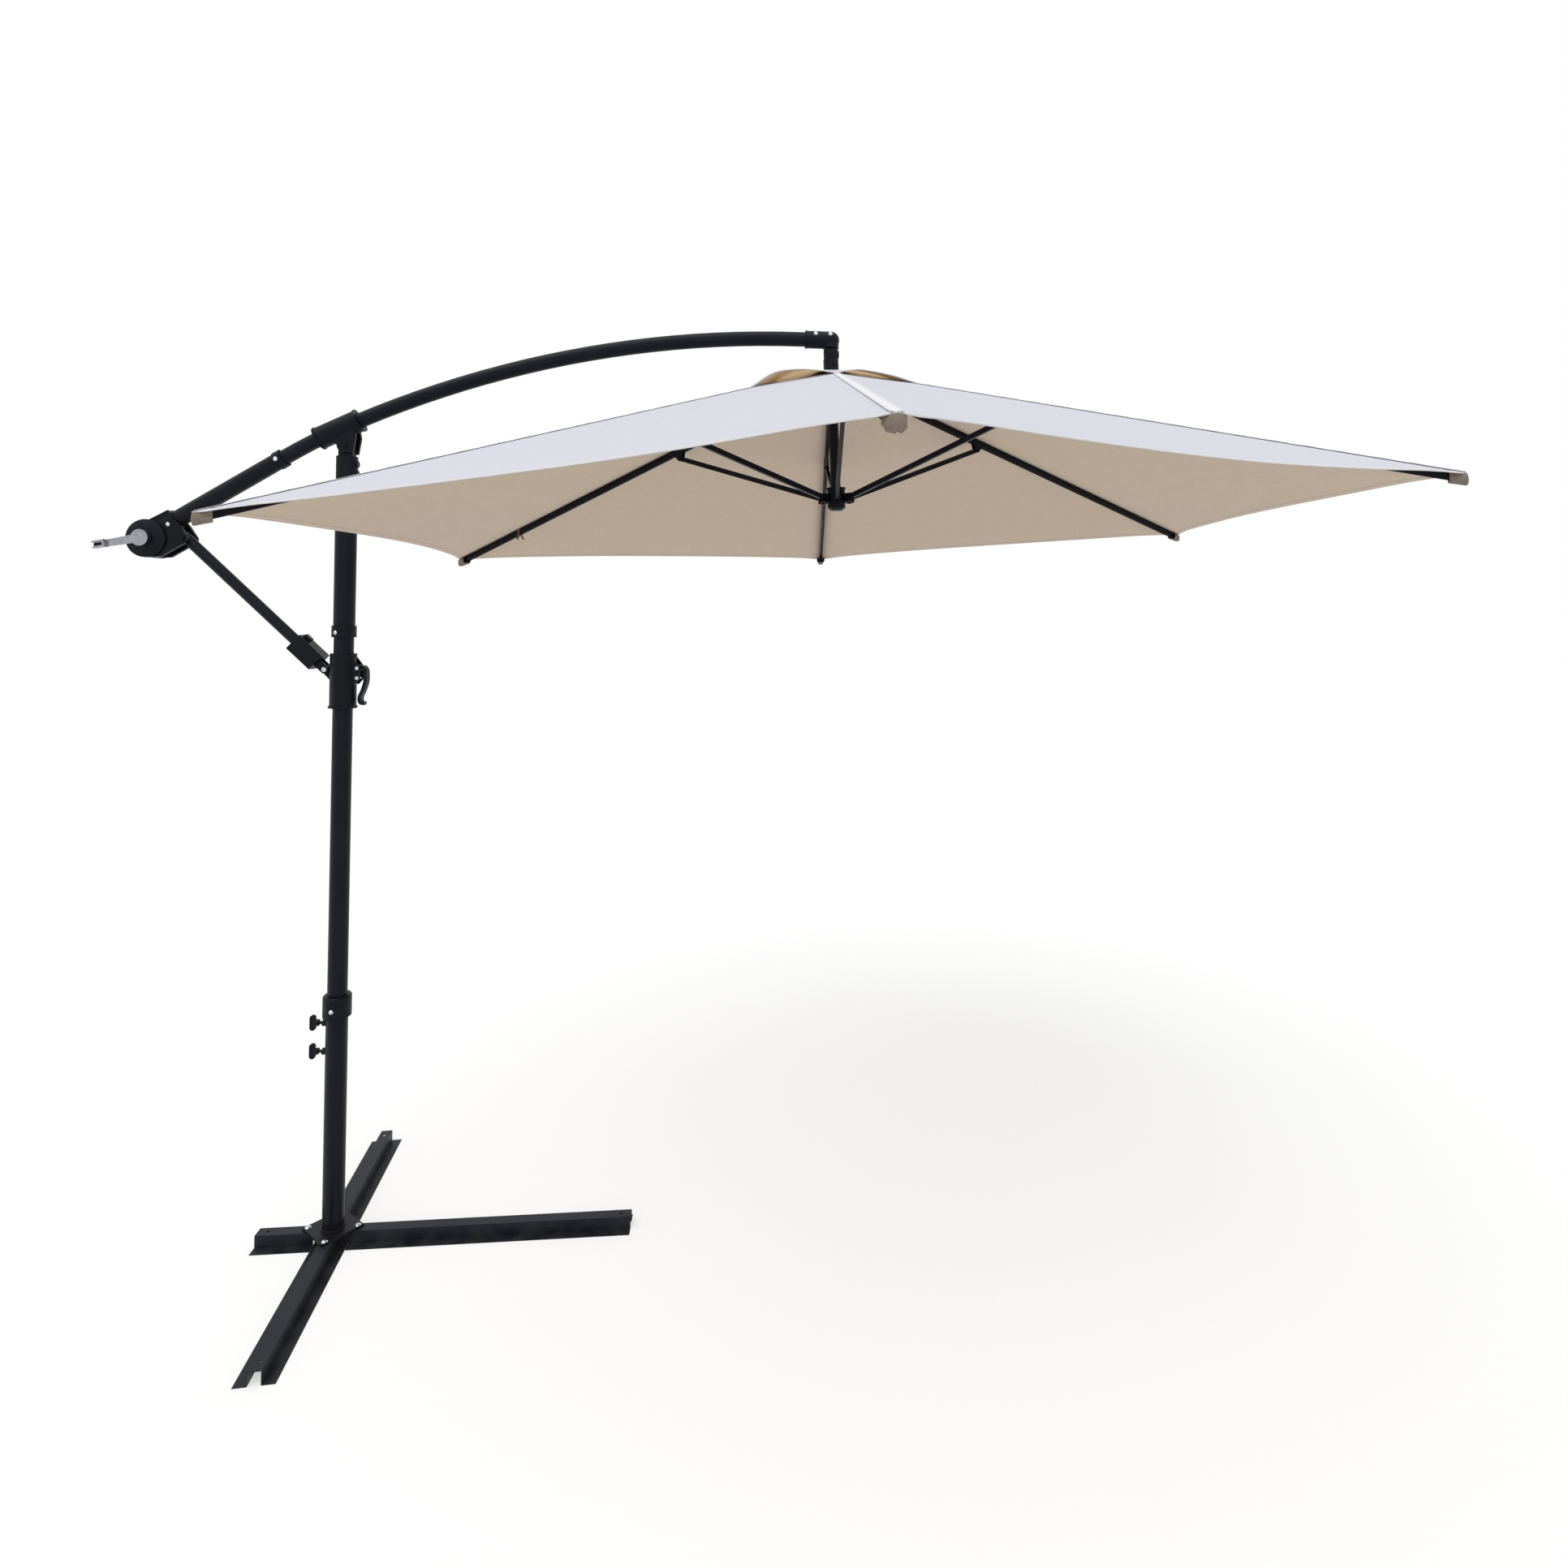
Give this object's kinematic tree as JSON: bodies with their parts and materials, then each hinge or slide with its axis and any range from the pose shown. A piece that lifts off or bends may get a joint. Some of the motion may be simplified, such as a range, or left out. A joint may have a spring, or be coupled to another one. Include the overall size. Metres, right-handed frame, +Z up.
{
  "type": "cantilever patio umbrella",
  "caption": "Cantilever patio umbrella with a crossed steel base, swivelling mast, curved arm on a sliding brace, crank handle and vented hexagonal canopy.",
  "frame": {"origin": "on the ground, on the mast's axis", "axes": "+Z up along the mast, +X along the arm towards the canopy, crank handle on the -Y side"},
  "size_m": [3.2744, 3.0042, 2.5416],
  "materials": {
    "frame_paint": "satin",
    "base_paint": "satin",
    "black_plastic": "fine texture",
    "zinc_steel": "bright zinc",
    "crank_chrome": "polished",
    "grip_plastic": "matte",
    "nylon": "smooth",
    "brake_rubber": "matte",
    "canopy_cloth": "woven polyester, tan coating below",
    "lift_rope": "braided"
  },
  "bodies": {
    "stand": {"long_beam": "base_paint", "cross_beam": "base_paint", "stand_post": "frame_paint", "base_bolts": "zinc_steel", "base_nuts": "zinc_steel", "stand_collar": "black_plastic", "collar_screw": "zinc_steel"},
    "thumb_upper": {"thumb_screw_upper": "black_plastic"},
    "thumb_lower": {"thumb_screw_lower": "black_plastic"},
    "mast": {"mast_foot": "black_plastic", "mast_lower_tube": "frame_paint", "mast_upper_tube": "frame_paint", "stop_collar": "black_plastic", "stop_screw": "zinc_steel", "mast_head": "black_plastic", "head_pin": "zinc_steel"},
    "slider": {"slider_sleeve": "black_plastic", "slider_liner": "nylon", "brake_pad": "brake_rubber", "slider_pins": "zinc_steel"},
    "lever": {"cam_lever": "black_plastic"},
    "brace": {"brace_tube": "frame_paint", "brace_socket": "black_plastic"},
    "arm": {"arm_lower_tube": "frame_paint", "arm_upper_tube": "frame_paint", "arm_ring": "black_plastic", "arm_bracket": "black_plastic", "arm_screws": "zinc_steel", "crank_housing": "black_plastic", "housing_cover": "black_plastic", "brace_pin": "zinc_steel", "elbow": "black_plastic", "swing_pin": "zinc_steel", "rope_in_arm": "lift_rope"},
    "crank": {"crank_lever": "crank_chrome", "crank_grip": "grip_plastic", "reel": "nylon"},
    "pulley": {"pulley": "nylon"},
    "canopy": {"pole_socket": "black_plastic", "socket_screw": "zinc_steel", "pole": "frame_paint", "top_hub": "black_plastic", "hub_pins": "zinc_steel", "vent_cap": "canopy_cloth", "rope_drop": "lift_rope", "canopy_cover": "canopy_cloth"},
    "runner": {"runner": "black_plastic"},
    "rib_1": {"rib_1": "frame_paint"},
    "rib_2": {"rib_2": "frame_paint"},
    "rib_3": {"rib_3": "frame_paint"},
    "rib_4": {"rib_4": "frame_paint"},
    "rib_5": {"rib_5": "frame_paint"},
    "rib_6": {"rib_6": "frame_paint"},
    "strut_1": {"strut_1": "frame_paint"},
    "strut_2": {"strut_2": "frame_paint"},
    "strut_3": {"strut_3": "frame_paint"},
    "strut_4": {"strut_4": "frame_paint"},
    "strut_5": {"strut_5": "frame_paint"},
    "strut_6": {"strut_6": "frame_paint"}
  },
  "joints": [
    {"name": "mast_turn", "type": "hinge", "parent": "stand", "child": "mast", "pos_m": [0, 0, 0], "axis": [0, 0, 1], "continuous": true},
    {"name": "thumb_screw_upper_turn", "type": "hinge", "parent": "stand", "child": "thumb_upper", "pos_m": [-0.05, 0, 0.598], "axis": [-1, 0, 0], "continuous": true},
    {"name": "thumb_screw_lower_turn", "type": "hinge", "parent": "stand", "child": "thumb_lower", "pos_m": [-0.05, 0, 0.52], "axis": [-1, 0, 0], "continuous": true},
    {"name": "arm_tilt", "type": "hinge", "parent": "mast", "child": "arm", "pos_m": [0, 0, 2.178], "axis": [0, -1, 0], "range_deg": [-3.5, 8]},
    {"name": "slider_travel", "type": "slide", "parent": "mast", "child": "slider", "axis": [0, 0, -1], "range_m": [-0.04215, 0.0957]},
    {"name": "brace_swing", "type": "hinge", "parent": "slider", "child": "brace", "pos_m": [-0.045, 0, 1.56604], "axis": [0, 1, 0], "range_deg": [-2.8, 6.26]},
    {"name": "canopy_swing", "type": "hinge", "parent": "arm", "child": "canopy", "pos_m": [1.32, 0, 2.47812], "axis": [0, 1, 0], "range_deg": [-3.6, 8.1]},
    {"name": "cam_lever_throw", "type": "hinge", "parent": "slider", "child": "lever", "pos_m": [0.0435, 0, 1.57104], "axis": [0, -1, 0], "range_deg": [0, 80]},
    {"name": "canopy_fold", "type": "hinge", "parent": "canopy", "child": "rib_1", "pos_m": [1.32395, -0.038, 2.40924], "axis": [0.9984, 0, 0.0572], "range_deg": [0, 66], "deforming": ["canopy_cover", "vent_cap", "rope_drop"]},
    {"name": "rib_2_fold", "type": "hinge", "parent": "canopy", "child": "rib_2", "pos_m": [1.3568, -0.019, 2.41112], "axis": [0.4992, 0.866, 0.0286], "range_deg": [-0.1, 66.1]},
    {"name": "rib_3_fold", "type": "hinge", "parent": "canopy", "child": "rib_3", "pos_m": [1.3568, 0.019, 2.41112], "axis": [-0.4992, 0.866, -0.0286], "range_deg": [-0.1, 66.1]},
    {"name": "rib_4_fold", "type": "hinge", "parent": "canopy", "child": "rib_4", "pos_m": [1.32395, 0.038, 2.40924], "axis": [-0.9984, 0, -0.0572], "range_deg": [-0.1, 66.1]},
    {"name": "rib_5_fold", "type": "hinge", "parent": "canopy", "child": "rib_5", "pos_m": [1.29109, 0.019, 2.40735], "axis": [-0.4992, -0.866, -0.0286], "range_deg": [-0.1, 66.1]},
    {"name": "rib_6_fold", "type": "hinge", "parent": "canopy", "child": "rib_6", "pos_m": [1.29109, -0.019, 2.40735], "axis": [0.4992, -0.866, 0.0286], "range_deg": [-0.1, 66.1]},
    {"name": "strut_1_fold", "type": "hinge", "parent": "rib_1", "child": "strut_1", "pos_m": [1.33369, -0.53067, 2.23933], "axis": [0.9984, 0, 0.0572], "range_deg": [-132.2, 0.2]},
    {"name": "strut_2_fold", "type": "hinge", "parent": "rib_2", "child": "strut_2", "pos_m": [1.79251, -0.26533, 2.26563], "axis": [0.4992, 0.866, 0.0286], "range_deg": [-132.2, 0.2]},
    {"name": "strut_3_fold", "type": "hinge", "parent": "rib_3", "child": "strut_3", "pos_m": [1.79251, 0.26533, 2.26563], "axis": [-0.4992, 0.866, -0.0286], "range_deg": [-132.2, 0.2]},
    {"name": "strut_4_fold", "type": "hinge", "parent": "rib_4", "child": "strut_4", "pos_m": [1.33369, 0.53067, 2.23933], "axis": [-0.9984, 0, -0.0572], "range_deg": [-132.2, 0.2]},
    {"name": "strut_5_fold", "type": "hinge", "parent": "rib_5", "child": "strut_5", "pos_m": [0.87487, 0.26533, 2.21304], "axis": [-0.4992, -0.866, -0.0286], "range_deg": [-132.2, 0.2]},
    {"name": "strut_6_fold", "type": "hinge", "parent": "rib_6", "child": "strut_6", "pos_m": [0.87487, -0.26533, 2.21304], "axis": [0.4992, -0.866, 0.0286], "range_deg": [-132.2, 0.2]},
    {"name": "runner_travel", "type": "slide", "parent": "canopy", "child": "runner", "axis": [0.0572, 0, -0.9984], "range_m": [-0.0005, 0.69872]},
    {"name": "crank_turn", "type": "hinge", "parent": "arm", "child": "crank", "pos_m": [-0.50805, 0, 1.91208], "axis": [0, 1, 0], "range_deg": [-1, 4001.51]},
    {"name": "pulley_turn", "type": "hinge", "parent": "arm", "child": "pulley", "pos_m": [1.3175, 0, 2.50212], "axis": [0, 1, 0], "range_deg": [-1, 3334.76]}
  ],
  "couplings": [
    {"joint": "slider_travel", "follows": "arm_tilt", "m_per_rad": 0.68182},
    {"joint": "brace_swing", "follows": "arm_tilt", "ratio": 0.77},
    {"joint": "canopy_swing", "follows": "arm_tilt", "ratio": 1},
    {"joint": "rib_2_fold", "follows": "canopy_fold", "ratio": 1},
    {"joint": "rib_3_fold", "follows": "canopy_fold", "ratio": 1},
    {"joint": "rib_4_fold", "follows": "canopy_fold", "ratio": 1},
    {"joint": "rib_5_fold", "follows": "canopy_fold", "ratio": 1},
    {"joint": "rib_6_fold", "follows": "canopy_fold", "ratio": 1},
    {"joint": "strut_1_fold", "follows": "canopy_fold", "ratio": -2},
    {"joint": "strut_2_fold", "follows": "canopy_fold", "ratio": -2},
    {"joint": "strut_3_fold", "follows": "canopy_fold", "ratio": -2},
    {"joint": "strut_4_fold", "follows": "canopy_fold", "ratio": -2},
    {"joint": "strut_5_fold", "follows": "canopy_fold", "ratio": -2},
    {"joint": "strut_6_fold", "follows": "canopy_fold", "ratio": -2},
    {"joint": "runner_travel", "follows": "canopy_fold", "m_per_rad": 0.60614},
    {"joint": "crank_turn", "follows": "canopy_fold", "ratio": 60.614},
    {"joint": "pulley_turn", "follows": "canopy_fold", "ratio": 50.512}
  ]
}
